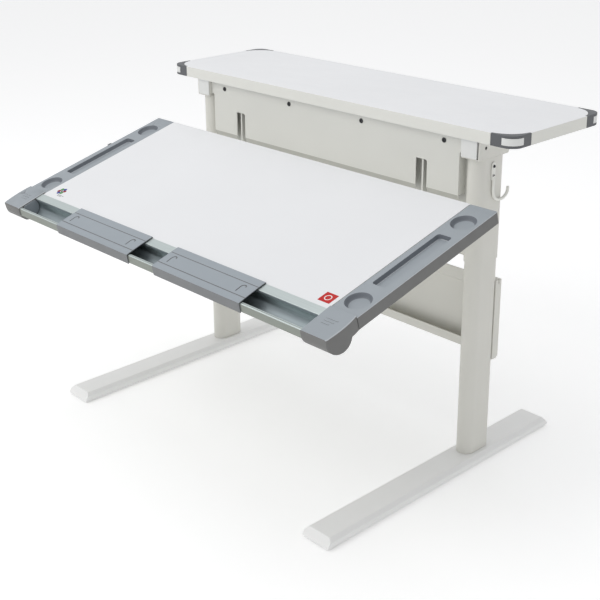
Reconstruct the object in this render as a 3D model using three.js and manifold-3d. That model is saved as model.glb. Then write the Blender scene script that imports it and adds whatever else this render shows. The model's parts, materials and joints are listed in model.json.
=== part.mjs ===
// Height-adjustable drawing desk with a fixed rear shelf and a front-hinged tilting board.
// Units are millimetres. X is to the user's right, Y points away from the user, Z is up.
// The shapes are drawn about the columns' centre plane (y = 0), standing on z = 0.
import * as THREE from "three";
import { mergeVertices } from "three/addons/utils/BufferGeometryUtils.js";
import Module from "manifold-3d";

const wasm = await Module();
wasm.setup();

const GAP = 0.3; // between pieces that touch
const SHEET = 2; // folded steel sheet
const CURVE_STEPS = 7; // straight steps in each curve of an outline
const ROUND_STEPS = 20; // sides of a turned piece

// Base
const COLUMN_X = 414;
const FOOT = { width: 72, front: -476, rear: 233, bottom: 3.1, top: 22.5, side: 8, end: 12, wall: 2.5 };
const GLIDE = { radius: 15, height: 2.8, fromEnd: 32 };
const TUBE = { width: 40, depth: 80, bottom: 22.8, top: 668, wall: 2 };
const TUBE_GUIDE_TOP = 676;
const BEAM = { front: 45, rear: 50, bottom: 240, top: 403, lipFront: 22, lipTop: 260, joggle: 3, fold: 24 };
const BRACKET = { inner: 394, outer: 434, front: 31, rear: 50, bottom: 228, top: 409, chamfer: 6 };
const CYLINDER = { radius: 14, bore: 11, bottom: 24, top: 380, neck: 5.3 };
const ROD = { radius: 5, piston: 10.6, bottom: 120, top: 682.2 };

// Upper frame
const SLEEVE = { width: 44, depth: 84, bottom: 462, top: 682.6, wall: 1.7 };
const SHELF = { halfX: 525, front: -60, rear: 235, bottom: 724, top: 749, corner: 26 };
const ARM = { front: -50, rear: 205, bottom: 683, top: 723.7, inner: 393, outer: 437, wall: 2.6 };
const ARM_CAP = { inner: 393.4, outer: 431.7, bottom: 686, thickness: 2 };
const ARM_SCREW = { radius: 3.4, y: -28.6, z: 706 };
const PANEL = { halfX: 383, face: -43, bend: 600, bottom: 586, lean: 5, flange: 22, earX: 392.7, ear: 691 };
const SLOT = { x: 284.8, width: 29.7, top: 658, corner: 5.5 };
const REAR_COVER = { front: -20.7, halfX: 391.4, bottom: 560 };
const CROSSBAR = { halfX: 391.4, front: -18, rear: 12, bottom: 466, top: 496 };
const SCREW_X = [-342.7, -113.8, 113.8, 342.7];
const SCREW_Z = 708;
const HOOK = { y: -3.3, plateTop: 673, plateBottom: 635, width: 11, rod: 3, bendY: 22, bendZ: 613, sag: 21.7, tipY: 45 };
const GUARD = { inset: 4.5, corner: 56, reachX: 56, reachY: 54, insertDepth: 1.6, insertHeight: 14.2, insertReach: 30 };

// Tilting board: its own frame has x across, s up the slope and n off the face.
const BOARD_ORIGIN = { y: -489.4, z: 514.7 };
const TILT = THREE.MathUtils.degToRad(14.9);
const BOARD = { halfX: 465, front: -4, rear: 395.5, thickness: 18 };
const RAIL = { inner: 465.3, outer: 530.5, front: 2.3, rear: 395.5, thickness: 25.7, corner: 4 };
const CUP = { radius: 25.5, depth: 9, x: 497, front: 41.5, rear: 334 };
const PEN_RECESS = { inner: 480, outer: 513, front: 94, rear: 281, corner: 5, depth: 9 };
// The nose, which is the tray and the caps, starts proud of the board and drops NOSE.angle degrees more.
const NOSE = { angle: 3.4, lift: 3.5 };
const CAP = { inner: 465.2, outer: 529.7, bulge: 536, front: -73.4, rear: 2, lobeS: -47.3, lobeN: -14.3, lobeRadius: 28.5 };
const CAP_CORNER = { front: 4, low: 14 };
const TRAY = { halfX: 464.9, top: -2.4, front: -71.3, rear: -4.6, lip: -65, rail: -25.1, faceLean: 2.6, faceHeight: 20 };
const TROUGH = { centre: -44, depth: 17, radius: 21, wall: 2.2 };
const COVER = { length: 262, centre: 173.8, thickness: 1.9, crown: 1.6, front: -73.7, rear: -3, drop: 21, leg: 1.2, legDrop: 2.8 };
const HINGE = { y: -470, z: 479.5, pin: 5, x: 286.3 };
const PLATE = 4.5; // thickness of the support arms and prop legs
const PROP = { reach: 150, x: 268, shaft: 6, roller: 6, slot: 8, width: 20 };
const LEVER = { s: 232, length: 34, reach: 6.4, lip: 10 };

const colours = {
  frame: [0xd6d6d0, 0.45, 0.1],
  panel: [0xd9dad5, 0.5, 0.1],
  laminate: [0xeceeef, 0.4, 0],
  moulding: [0x8f959e, 0.55, 0],
  guard: [0x55585c, 0.5, 0],
  insert: [0xdcdcda, 0.5, 0],
  aluminium: [0xb9c1c0, 0.35, 0.9],
  steel: [0x9a9c9e, 0.35, 0.9],
  black: [0x2b2c2e, 0.6, 0],
};
const materials = {};
for (const [name, [color, roughness, metalness]] of Object.entries(colours)) {
  materials[name] = new THREE.MeshStandardMaterial({ color, roughness, metalness });
}

const desk = new THREE.Group();
const boardFrame = new THREE.Group();
boardFrame.position.set(0, BOARD_ORIGIN.y, BOARD_ORIGIN.z);
boardFrame.rotation.x = TILT;
desk.add(boardFrame);
const propFrame = new THREE.Group();
propFrame.position.set(0, HINGE.y + PROP.reach, HINGE.z);
propFrame.rotation.x = 2 * TILT;
desk.add(propFrame);

// The hinge axis in the board's own frame.
const hingeOffset = new THREE.Vector2(HINGE.y - BOARD_ORIGIN.y, HINGE.z - BOARD_ORIGIN.z);
hingeOffset.rotateAround(new THREE.Vector2(), -TILT);
const hingeS = hingeOffset.x;
const hingeN = hingeOffset.y;

// Turns a closed three.js geometry into a manifold-3d solid.
function solid(geometry) {
  const bare = geometry.clone();
  bare.deleteAttribute("normal");
  bare.deleteAttribute("uv");
  const merged = mergeVertices(bare, 1e-4);
  return new wasm.Manifold(
    new wasm.Mesh({
      numProp: 3,
      vertProperties: merged.attributes.position.array,
      triVerts: new Uint32Array(merged.index.array),
    }),
  );
}

function geometryOf(made) {
  const { vertProperties, triVerts } = made.getMesh();
  const geometry = new THREE.BufferGeometry();
  geometry.setAttribute("position", new THREE.BufferAttribute(vertProperties, 3));
  geometry.setIndex(new THREE.BufferAttribute(triVerts, 1));
  const flat = geometry.toNonIndexed();
  flat.computeVertexNormals();
  return flat;
}

function add(name, made, material, parent = desk) {
  const mesh = new THREE.Mesh(geometryOf(made), materials[material]);
  mesh.name = name;
  parent.add(mesh);
}

function outline(points) {
  return new THREE.Shape(points.map(([u, v]) => new THREE.Vector2(u, v)));
}

function rectangle(u0, v0, u1, v1) {
  return outline([[u0, v0], [u1, v0], [u1, v1], [u0, v1]]);
}

function roundedRectangle(u0, v0, u1, v1, radius) {
  const shape = new THREE.Shape();
  shape.absarc(u1 - radius, v0 + radius, radius, -Math.PI / 2, 0);
  shape.absarc(u1 - radius, v1 - radius, radius, 0, Math.PI / 2);
  shape.absarc(u0 + radius, v1 - radius, radius, Math.PI / 2, Math.PI);
  shape.absarc(u0 + radius, v0 + radius, radius, Math.PI, 1.5 * Math.PI);
  return shape;
}

// An oval tube section: flat sides in x, round front and rear.
function oval(centreX, width, depth) {
  const radius = width / 2;
  const half = depth / 2 - radius;
  const shape = new THREE.Shape();
  shape.absarc(centreX, half, radius, 0, Math.PI);
  shape.absarc(centreX, -half, radius, Math.PI, 2 * Math.PI);
  return shape;
}

// Prisms: the outline is drawn in (x, y), (y, z) or (x, z) and runs along the third axis.
function extrude(shape, length) {
  const options = { depth: length, bevelEnabled: false, curveSegments: CURVE_STEPS };
  return new THREE.ExtrudeGeometry(shape, options);
}

function alongZ(shape, from, to) {
  return solid(extrude(shape, to - from).translate(0, 0, from));
}

function alongX(shape, from, to) {
  const turn = new THREE.Matrix4().makeBasis(
    new THREE.Vector3(0, 1, 0),
    new THREE.Vector3(0, 0, 1),
    new THREE.Vector3(1, 0, 0),
  );
  return solid(extrude(shape, to - from).applyMatrix4(turn).translate(from, 0, 0));
}

function alongY(shape, from, to) {
  return solid(extrude(shape, to - from).rotateX(Math.PI / 2).translate(0, to, 0));
}

function block(x0, y0, z0, x1, y1, z1) {
  return alongZ(rectangle(x0, y0, x1, y1), z0, z1);
}

// A round bar along X, or along Z.
function barX(radius, from, to, y, z) {
  const bar = new THREE.CylinderGeometry(radius, radius, to - from, ROUND_STEPS);
  return solid(bar.rotateZ(Math.PI / 2).translate((from + to) / 2, y, z));
}

function barZ(radius, from, to, x, y) {
  const bar = new THREE.CylinderGeometry(radius, radius, to - from, ROUND_STEPS);
  return solid(bar.rotateX(Math.PI / 2).translate(x, y, (from + to) / 2));
}

// A turned piece about a vertical axis: the profile holds [radius, z] points.
function turned(profile, x, y) {
  const points = profile.map(([r, z]) => new THREE.Vector2(r, z));
  return solid(new THREE.LatheGeometry(points, ROUND_STEPS).rotateX(Math.PI / 2).translate(x, y, 0));
}

function mirrorX(made) {
  return made.mirror([1, 0, 0]);
}

// Adds a piece drawn on the right-hand side, and its mirror image on the left.
function addPair(name, right, material, parent = desk) {
  add(`${name}_right`, right, material, parent);
  add(`${name}_left`, mirrorX(right), material, parent);
}

// ---------------------------------------------------------------- base

function footBody(inset) {
  const half = FOOT.width / 2 - inset;
  const top = FOOT.top - inset;
  const front = FOOT.front + inset;
  const rear = FOOT.rear - inset;
  const bottom = inset ? FOOT.bottom - 1 : FOOT.bottom;
  const across = outline([
    [COLUMN_X - half, bottom],
    [COLUMN_X + half, bottom],
    [COLUMN_X + half, top - FOOT.side],
    [COLUMN_X + half - FOOT.side, top],
    [COLUMN_X - half + FOOT.side, top],
    [COLUMN_X - half, top - FOOT.side],
  ]);
  const along = outline([
    [front, bottom],
    [rear, bottom],
    [rear, bottom + 4],
    [rear - FOOT.end, top],
    [front + FOOT.end, top],
    [front, bottom + 4],
  ]);
  const wide = FOOT.width;
  return alongY(across, front, rear).intersect(alongX(along, COLUMN_X - wide, COLUMN_X + wide));
}

function makeBase() {
  const glideYs = { front: FOOT.front + GLIDE.fromEnd, rear: FOOT.rear - GLIDE.fromEnd };
  let foot = footBody(0).subtract(footBody(FOOT.wall));
  for (const y of Object.values(glideYs)) {
    foot = foot.add(barZ(GLIDE.radius, FOOT.bottom, FOOT.top - 1, COLUMN_X, y));
  }
  addPair("foot", foot, "frame");
  for (const [end, y] of Object.entries(glideYs)) {
    const profile = [[0, 0], [GLIDE.radius - 1, 0], [GLIDE.radius, 1], [GLIDE.radius, GLIDE.height], [0, GLIDE.height]];
    addPair(`glide_${end}`, turned(profile, COLUMN_X, y), "black");
  }

  const wall = 2 * TUBE.wall;
  const bore = alongZ(oval(COLUMN_X, TUBE.width - wall, TUBE.depth - wall), TUBE.bottom - 1, TUBE.top + 1);
  const tube = alongZ(oval(COLUMN_X, TUBE.width, TUBE.depth), TUBE.bottom, TUBE.top).subtract(bore);
  addPair("lower_column", tube, "frame");
  const guide = alongZ(oval(COLUMN_X, TUBE.width, TUBE.depth), TUBE.top + GAP, TUBE_GUIDE_TOP);
  const rodHole = barZ(ROD.radius + GAP, TUBE.top, TUBE_GUIDE_TOP + 1, COLUMN_X, 0);
  addPair("column_guide", guide.subtract(rodHole), "black");

  const cylinder = turned(
    [
      [0, CYLINDER.bottom],
      [CYLINDER.radius, CYLINDER.bottom],
      [CYLINDER.radius, CYLINDER.top],
      [CYLINDER.neck, CYLINDER.top],
      [CYLINDER.neck, CYLINDER.top - 12],
      [CYLINDER.bore, CYLINDER.top - 12],
      [CYLINDER.bore, CYLINDER.bottom + 12],
      [0, CYLINDER.bottom + 12],
    ],
    COLUMN_X,
    0,
  );
  addPair("lift_cylinder", cylinder, "black");

  const { front, rear, bottom, top, lipFront, lipTop, joggle, fold } = BEAM;
  const section = outline([
    [rear, top],
    [front, top],
    [front, top - fold],
    [front + joggle, top - fold - joggle],
    [front + joggle, bottom + SHEET],
    [lipFront + SHEET, bottom + SHEET],
    [lipFront + SHEET, lipTop],
    [lipFront, lipTop],
    [lipFront, bottom],
    [front + joggle + SHEET, bottom],
    [front + joggle + SHEET, top - fold - joggle],
    [front + SHEET, top - fold],
    [front + SHEET, top - SHEET],
    [rear, top - SHEET],
  ]);
  const beamHalf = BRACKET.inner - GAP;
  add("cross_panel", alongX(section, -beamHalf, beamHalf), "panel");
  makeBrackets();
}

function makeBrackets() {
  const { inner, outer, front, rear, bottom, top, chamfer } = BRACKET;
  const side = outline([
    [front, bottom],
    [rear - chamfer, bottom],
    [rear, bottom + chamfer],
    [rear, top],
    [front, top],
  ]);
  const around = alongZ(oval(COLUMN_X, TUBE.width + 2 * GAP, TUBE.depth + 2 * GAP), bottom - 1, top + 1);
  const notch = block(outer - 3, 40, top - 9, outer + 1, 43, top + 1);
  addPair("cross_bracket", alongX(side, inner, outer).subtract(around).subtract(notch), "panel");
}

// ---------------------------------------------------------------- upper frame

function makeSleeves() {
  const inner = oval(COLUMN_X, SLEEVE.width - 2 * SLEEVE.wall, SLEEVE.depth - 2 * SLEEVE.wall);
  const bore = alongZ(inner, SLEEVE.bottom - 1, SLEEVE.top + 1);
  const outer = alongZ(oval(COLUMN_X, SLEEVE.width, SLEEVE.depth), SLEEVE.bottom, SLEEVE.top);
  addPair("upper_sleeve", outer.subtract(bore), "frame");

  const rod = turned(
    [
      [0, ROD.bottom],
      [ROD.piston, ROD.bottom],
      [ROD.piston, ROD.bottom + 10],
      [ROD.radius, ROD.bottom + 10],
      [ROD.radius, ROD.top],
      [0, ROD.top],
    ],
    COLUMN_X,
    0,
  );
  addPair("lift_rod", rod, "steel");
}

// Arms that carry the shelf: channels open at the top and the front, flared behind the column.
function makeShelfArms() {
  const side = new THREE.Shape();
  side.moveTo(ARM.front, ARM.bottom);
  side.lineTo(44, ARM.bottom);
  side.quadraticCurveTo(52, ARM.bottom + 20, 82, ARM.bottom + 24);
  side.lineTo(ARM.rear, ARM.top - 9);
  side.lineTo(ARM.rear, ARM.top);
  side.lineTo(ARM.front, ARM.top);
  const pocket = new THREE.Shape();
  pocket.moveTo(ARM.front - 1, ARM.bottom + ARM.wall);
  pocket.lineTo(42, ARM.bottom + ARM.wall);
  pocket.quadraticCurveTo(50, ARM.bottom + 23, 80, ARM.bottom + 27);
  pocket.lineTo(ARM.rear - ARM.wall, ARM.top - 6);
  pocket.lineTo(ARM.rear - ARM.wall, ARM.top + 1);
  pocket.lineTo(ARM.front - 1, ARM.top + 1);
  const hollow = alongX(pocket, ARM.inner + ARM.wall, ARM.outer - ARM.wall);
  const screw = barX(ARM_SCREW.radius, ARM.outer - 4, ARM.outer + 1, ARM_SCREW.y, ARM_SCREW.z);
  addPair("shelf_arm", alongX(side, ARM.inner, ARM.outer).subtract(hollow).subtract(screw), "frame");

  const cap = ARM_CAP;
  const face = roundedRectangle(cap.inner, cap.bottom, cap.outer, ARM.top, 2);
  const plugInner = ARM.inner + ARM.wall + GAP;
  const plug = block(plugInner, ARM.front - GAP, cap.bottom + 1, cap.outer - 1, ARM.front + 12, ARM.top);
  const front = ARM.front - GAP - cap.thickness;
  addPair("arm_cap", alongY(face, front, ARM.front - GAP).add(plug), "insert");
}

function shelfOutline(inset, corner = SHELF.corner) {
  const { halfX, front, rear } = SHELF;
  return roundedRectangle(-halfX + inset, front + inset, halfX - inset, rear - inset, corner);
}

// One corner of the shelf: a box that reaches inwards from the corner point.
function cornerBox(signX, atRear, reachX, reachY, low, high) {
  const x = signX * SHELF.halfX;
  const y = atRear ? SHELF.rear : SHELF.front;
  const xs = [x - signX * reachX, x + signX * 5].sort((a, b) => a - b);
  const ys = atRear ? [y - reachY, y + 5] : [y - 5, y + reachY];
  return block(xs[0], ys[0], low, xs[1], ys[1], high);
}

// The guards are thick in the middle: the shelf's own corners are rounder than the guards.
function makeShelf() {
  const { bottom, top, corner } = SHELF;
  const { inset, reachX, reachY, insertDepth, insertReach } = GUARD;
  const below = bottom - 1;
  const above = top + 1;
  const full = alongZ(shelfOutline(0), bottom, top);
  const guardCore = alongZ(shelfOutline(inset, GUARD.corner), below, above);
  const shelfCore = alongZ(shelfOutline(inset + GAP, GUARD.corner), below, above);
  const band = full.subtract(guardCore);
  const seat = alongZ(shelfOutline(-1), below, above).subtract(shelfCore);
  const insertLow = (bottom + top - GUARD.insertHeight) / 2;
  const insertHigh = insertLow + GUARD.insertHeight;
  const insertSkin = alongZ(shelfOutline(0), insertLow, insertHigh);
  const insertCore = alongZ(shelfOutline(insertDepth, corner - insertDepth), below, above);
  const pocketCore = alongZ(shelfOutline(insertDepth + GAP, corner - insertDepth - GAP), below, above);
  let shelf = full;
  const corners = [
    ["front_left", -1, false],
    ["front_right", 1, false],
    ["rear_left", -1, true],
    ["rear_right", 1, true],
  ];
  for (const [place, signX, atRear] of corners) {
    shelf = shelf.subtract(seat.intersect(cornerBox(signX, atRear, reachX + GAP, reachY + GAP, below, above)));
    const guard = band.intersect(cornerBox(signX, atRear, reachX, reachY, below, above));
    const opening = insertReach + GAP;
    const pocket = cornerBox(signX, atRear, opening, opening, insertLow - GAP, insertHigh + GAP);
    add(`corner_guard_${place}`, guard.subtract(pocket.subtract(pocketCore)), "guard");
    const plate = cornerBox(signX, atRear, insertReach, insertReach, insertLow, insertHigh);
    add(`corner_insert_${place}`, plate.intersect(insertSkin).subtract(insertCore), "insert");
  }
  add("shelf_board", shelf, "laminate");
}

// The slots run out through the panel's bottom edge; only their +x top corners are rounded.
function slotCutter(centreX) {
  const { width, top, corner } = SLOT;
  const left = centreX - width / 2;
  const right = centreX + width / 2;
  const shape = new THREE.Shape();
  shape.moveTo(left, PANEL.bottom - 1);
  shape.lineTo(right, PANEL.bottom - 1);
  shape.absarc(right - corner, top - corner, corner, 0, Math.PI / 2);
  shape.absarc(left + 1, top - 1, 1, Math.PI / 2, Math.PI);
  return alongY(shape, PANEL.face - 1, PANEL.face + PANEL.lean + SHEET + 1);
}

function makePanels() {
  const { halfX, face, bend, bottom, lean, flange, earX, ear } = PANEL;
  const top = ARM.top;
  const back = face + flange;
  const screwRadius = 3;
  const side = outline([
    [face, top],
    [face, bend],
    [face + lean, bottom],
    [face + lean + SHEET, bottom],
    [face + SHEET, bend],
    [face + SHEET, top],
  ]);
  const ears = outline([
    [earX, top],
    [-earX, top],
    [-earX, ear],
    [-halfX - 4, ear],
    [-halfX - 1.2, ear - 1.2],
    [-halfX, ear - 4],
    [-halfX, bottom - 1],
    [halfX, bottom - 1],
    [halfX, ear - 4],
    [halfX + 1.2, ear - 1.2],
    [halfX + 4, ear],
    [earX, ear],
  ]);
  let panel = alongX(side, -earX, earX).intersect(alongY(ears, face - 1, back));
  for (const x of [-halfX, halfX - SHEET]) {
    panel = panel.add(block(x, face, bend, x + SHEET, back, top));
  }
  panel = panel.add(block(-halfX, face, top - SHEET, halfX, back, top));
  panel = panel.subtract(slotCutter(SLOT.x)).subtract(slotCutter(-SLOT.x));
  SCREW_X.forEach((x, index) => {
    const hole = new THREE.CylinderGeometry(screwRadius + GAP, screwRadius + GAP, 8, 12);
    panel = panel.subtract(solid(hole.translate(x, face, SCREW_Z)));
    const points = [[0, 0], [screwRadius, 0], [screwRadius, 10.5], [5.5, 10.5], [4.4, 12.6], [0, 13]];
    const profile = points.map(([r, h]) => new THREE.Vector2(r, h));
    const screw = new THREE.LatheGeometry(profile, 12).rotateX(Math.PI).translate(x, face + 10.2, SCREW_Z);
    add(`panel_screw_${index + 1}`, solid(screw), "steel");
  });
  add("back_panel", panel, "panel");

  const cover = REAR_COVER;
  const section = outline([
    [cover.front, cover.bottom],
    [cover.front + 14, cover.bottom],
    [cover.front + 14, cover.bottom + SHEET],
    [cover.front + SHEET, cover.bottom + SHEET],
    [cover.front + SHEET, top],
    [cover.front, top],
  ]);
  add("rear_cover", alongX(section, -cover.halfX, cover.halfX), "panel");

  const tube = CROSSBAR;
  const outer = alongX(rectangle(tube.front, tube.bottom, tube.rear, tube.top), -tube.halfX, tube.halfX);
  const hollow = rectangle(tube.front + SHEET, tube.bottom + SHEET, tube.rear - SHEET, tube.top - SHEET);
  add("crossbar", outer.subtract(alongX(hollow, -tube.halfX - 1, tube.halfX + 1)), "frame");
}

// Steel plates that pass through the panel's slots and reach forward under the board.
function makeSupportArms() {
  const half = 12;
  const plateFront = PANEL.face + 2.5;
  const side = new THREE.Shape();
  side.moveTo(CROSSBAR.front - GAP, HINGE.z - half);
  side.lineTo(CROSSBAR.front - GAP, HINGE.z + half);
  side.lineTo(REAR_COVER.front - GAP, HINGE.z + half + 6);
  side.lineTo(REAR_COVER.front - GAP, SLOT.top - 1);
  side.lineTo(plateFront, SLOT.top - 1);
  side.lineTo(plateFront, HINGE.z + half + 30);
  side.quadraticCurveTo(plateFront, HINGE.z + half, plateFront - 34, HINGE.z + half);
  side.absarc(HINGE.y, HINGE.z, half, Math.PI / 2, 1.5 * Math.PI);
  const x0 = HINGE.x - PLATE / 2;
  const x1 = HINGE.x + PLATE / 2;
  let arm = alongX(side, x0, x1);
  arm = arm.subtract(barX(HINGE.pin + 0.15, x0 - 1, x1 + 1, HINGE.y, HINGE.z));
  arm = arm.subtract(barX(PROP.shaft + 0.2, x0 - 1, x1 + 1, HINGE.y + PROP.reach, HINGE.z));
  addPair("support_arm", arm, "steel");
}

// Bag hook on the right-hand sleeve: a flat plate that runs into a bent round rod.
function makeHook() {
  const face = COLUMN_X + SLEEVE.width / 2 + GAP;
  const plateShape = roundedRectangle(
    HOOK.y - HOOK.width / 2,
    HOOK.plateBottom,
    HOOK.y + HOOK.width / 2,
    HOOK.plateTop,
    4,
  );
  const plate = alongX(plateShape, face, face + 3);
  const rodX = face + HOOK.rod;
  const bend = HOOK.bendY - HOOK.y;
  const points = [new THREE.Vector3(rodX, HOOK.y, HOOK.plateBottom + 8)];
  for (const turn of [0, 0.25, 0.5, 0.75, 0.97]) {
    const angle = Math.PI * (1 + turn);
    const y = HOOK.bendY + bend * Math.cos(angle);
    points.push(new THREE.Vector3(rodX, Math.min(y, HOOK.tipY), HOOK.bendZ + HOOK.sag * Math.sin(angle)));
  }
  const path = new THREE.CatmullRomCurve3(points);
  const section = new THREE.Shape().absarc(0, 0, HOOK.rod, 0, 2 * Math.PI);
  const rod = new THREE.ExtrudeGeometry(section, { steps: 16, extrudePath: path, curveSegments: 8 });
  add("bag_hook", plate.add(solid(rod)), "insert");
}

// ---------------------------------------------------------------- tilting board

function makeBoard() {
  const boardShape = roundedRectangle(-BOARD.halfX, BOARD.front, BOARD.halfX, BOARD.rear, 2);
  add("drawing_board", alongZ(boardShape, -BOARD.thickness, 0), "laminate", boardFrame);

  const railShape = roundedRectangle(RAIL.inner, RAIL.front, RAIL.outer, RAIL.rear, RAIL.corner);
  let rail = alongZ(railShape, -RAIL.thickness, 0);
  for (const s of [CUP.front, CUP.rear]) {
    rail = rail.subtract(barZ(CUP.radius, -CUP.depth, 1, CUP.x, s));
  }
  const { inner, outer, front, rear, corner, depth } = PEN_RECESS;
  rail = rail.subtract(alongZ(roundedRectangle(inner, front, outer, rear, corner), -depth, 1));
  addPair("side_rail", rail, "moulding", boardFrame);
}

// Puts a piece drawn in the nose's own frame into the board's frame.
function dropNose(made) {
  return made.rotate([NOSE.angle, 0, 0]).translate([0, 0, NOSE.lift]);
}

function makeFrontCaps() {
  const { inner, outer, bulge, front, rear, lobeS, lobeN, lobeRadius } = CAP;
  const side = new THREE.Shape();
  side.moveTo(rear + 1, 0);
  side.lineTo(front, 0);
  side.absarc(lobeS, lobeN, lobeRadius, Math.PI, 1.84 * Math.PI);
  side.lineTo(rear + 1, -RAIL.thickness - NOSE.lift);

  const reach = lobeS - lobeRadius - 1;
  const above = new THREE.Shape();
  above.moveTo(inner, reach);
  above.lineTo(outer - CAP_CORNER.front, reach);
  above.quadraticCurveTo(outer, reach, outer, reach + CAP_CORNER.front);
  above.quadraticCurveTo(bulge, lobeS / 2, outer - 1, rear + 2);
  above.lineTo(inner, rear + 2);

  const low = lobeN - lobeRadius;
  const facing = new THREE.Shape();
  facing.moveTo(inner, 1);
  facing.lineTo(inner, low + CAP_CORNER.low);
  facing.quadraticCurveTo(inner, low, inner + CAP_CORNER.low, low);
  facing.lineTo(bulge, low - 1);
  facing.lineTo(bulge, 1);

  const cap = alongX(side, inner, bulge)
    .intersect(alongZ(above, low - 2, 1))
    .intersect(alongY(facing, reach - 1, rear + 2));
  const seam = block(0, 2 * reach, 2 * low, 2 * bulge, rear, -low);
  addPair("front_cap", dropNose(cap).intersect(seam), "moulding", boardFrame);
}

// The tray: a round-bottomed trough between a narrow front lip and a flat rear rail.
function makeTray() {
  const { halfX, top, front, rear, lip, rail, faceLean, faceHeight } = TRAY;
  const { centre, depth, radius, wall } = TROUGH;
  const start = Math.acos((rail - centre) / radius);
  const inside = new THREE.Shape();
  inside.moveTo(rail, 1);
  inside.absarc(centre, -depth, radius, start, -Math.PI, true);
  inside.lineTo(lip, 1);
  const body = new THREE.Shape();
  body.moveTo(rear, top);
  body.lineTo(front, top);
  body.lineTo(front - faceLean, -faceHeight);
  body.lineTo(front - faceLean + wall, -faceHeight);
  body.lineTo(front + wall, top - wall);
  body.absarc(centre, -depth, radius + wall, Math.PI, 1.9 * Math.PI);
  body.lineTo(rear, -BOARD.thickness - 6);
  const trough = dropNose(alongX(body, -halfX, halfX).subtract(alongX(inside, -halfX - 1, halfX + 1)));
  const under = -BOARD.thickness - GAP;
  const flange = block(-halfX, rear, under - wall, halfX, rear + 22, under);
  const clear = block(-halfX - 1, rear, under, halfX + 1, 40, 2);
  add("pencil_tray", trough.subtract(clear).add(flange), "aluminium", boardFrame);

  const cover = dropNose(alongX(coverProfile(), -COVER.length / 2, COVER.length / 2));
  for (const [side, sign] of [["left", -1], ["right", 1]]) {
    add(`tray_cover_${side}`, cover.translate([sign * COVER.centre, 0, 0]), "moulding", boardFrame);
  }
}

// A shallow crowned cover that hooks over the rear rail and the front lip of the tray.
function coverProfile() {
  const { thickness, crown, front, rear, drop, leg, legDrop } = COVER;
  const middle = (front + rear) / 2;
  const shape = new THREE.Shape();
  shape.moveTo(rear, -legDrop);
  shape.lineTo(rear, 0);
  shape.quadraticCurveTo(middle, crown, front, 0);
  shape.lineTo(front - TRAY.faceLean, -drop);
  shape.lineTo(front - TRAY.faceLean + thickness, -drop);
  shape.lineTo(front + thickness, -thickness);
  shape.quadraticCurveTo(middle, crown - thickness, rear - leg, -thickness);
  shape.lineTo(rear - leg, -legDrop);
  return shape;
}

function makeHinges() {
  const under = -BOARD.thickness - GAP - TROUGH.wall - GAP;
  const base = block(HINGE.x - 17, hingeS - 12, under - 3, HINGE.x + 17, hingeS + 30, under);
  const ear = new THREE.Shape();
  ear.moveTo(hingeS + 24, under - 2);
  ear.lineTo(hingeS - 10, under - 2);
  ear.absarc(hingeS, hingeN, 9.5, Math.PI, 2 * Math.PI - 0.5);
  let bracket = base;
  for (const x of [HINGE.x - 9, HINGE.x + 6]) {
    bracket = bracket.add(alongX(ear, x, x + 3));
  }
  bracket = bracket.subtract(barX(HINGE.pin + 0.15, HINGE.x - 20, HINGE.x + 20, hingeS, hingeN));
  addPair("hinge_bracket", bracket, "steel", boardFrame);

  const shank = barX(HINGE.pin, HINGE.x - 11, HINGE.x + 9.5, hingeS, hingeN);
  const head = barX(8, HINGE.x + 9.3, HINGE.x + 12, hingeS, hingeN);
  addPair("hinge_pin", shank.add(head), "steel", boardFrame);
}

// ---------------------------------------------------------------- prop

// Two legs on one shaft: each leg's roller rides in a channel under the board, on the line through
// the hinge, so the legs turn twice as far as the board.
function makeProp() {
  const halfLeg = 7;
  const leg = new THREE.Shape();
  leg.absarc(PROP.reach, 0, halfLeg, -Math.PI / 2, Math.PI / 2);
  leg.absarc(0, 0, halfLeg + 3, Math.PI / 2, 1.5 * Math.PI);
  const x0 = PROP.x - PLATE / 2;
  let right = alongX(leg, x0, x0 + PLATE);
  right = right.add(barX(PROP.roller, PROP.x - PROP.roller, PROP.x + PROP.roller, PROP.reach, 0));
  right = right.subtract(barX(PROP.shaft + 0.2, x0 - 1, x0 + PLATE + 1, 0, 0));
  addPair("prop_leg", right, "steel", propFrame);
  add("prop_shaft", barX(PROP.shaft, -HINGE.x - 10, HINGE.x + 10, 0, 0), "steel", propFrame);

  const half = PROP.width / 2;
  const slot = PROP.slot / 2;
  const top = -BOARD.thickness - GAP;
  const bottom = hingeN - PROP.roller - 0.5 - SHEET;
  const section = outline([
    [PROP.x - half, top],
    [PROP.x - half, bottom],
    [PROP.x - slot, bottom],
    [PROP.x - slot, bottom + SHEET],
    [PROP.x - half + SHEET, bottom + SHEET],
    [PROP.x - half + SHEET, top - SHEET],
    [PROP.x + half - SHEET, top - SHEET],
    [PROP.x + half - SHEET, bottom + SHEET],
    [PROP.x + slot, bottom + SHEET],
    [PROP.x + slot, bottom],
    [PROP.x + half, bottom],
    [PROP.x + half, top],
  ]);
  const channel = alongY(section, hingeS + 172, hingeS + 2 * PROP.reach + 12);
  addPair("prop_channel", channel, "steel", boardFrame);
}

// Release lever for the tilt, under the left-hand rail.
function makeLever() {
  const under = -RAIL.thickness - GAP;
  const outer = RAIL.outer + LEVER.reach;
  const plan = roundedRectangle(-outer, LEVER.s, -RAIL.outer + 22, LEVER.s + LEVER.length, 3);
  const paddle = alongZ(plan, under - 4, under);
  const lip = block(-outer, LEVER.s + 3, under - 1, -RAIL.outer - 2, LEVER.s + 3 + LEVER.lip, -1);
  add("tilt_lever", paddle.add(lip), "guard", boardFrame);
}

makeBase();
makeSleeves();
makeShelfArms();
makeShelf();
makePanels();
makeSupportArms();
makeHook();
makeBoard();
makeFrontCaps();
makeTray();
makeHinges();
makeProp();
makeLever();

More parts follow.
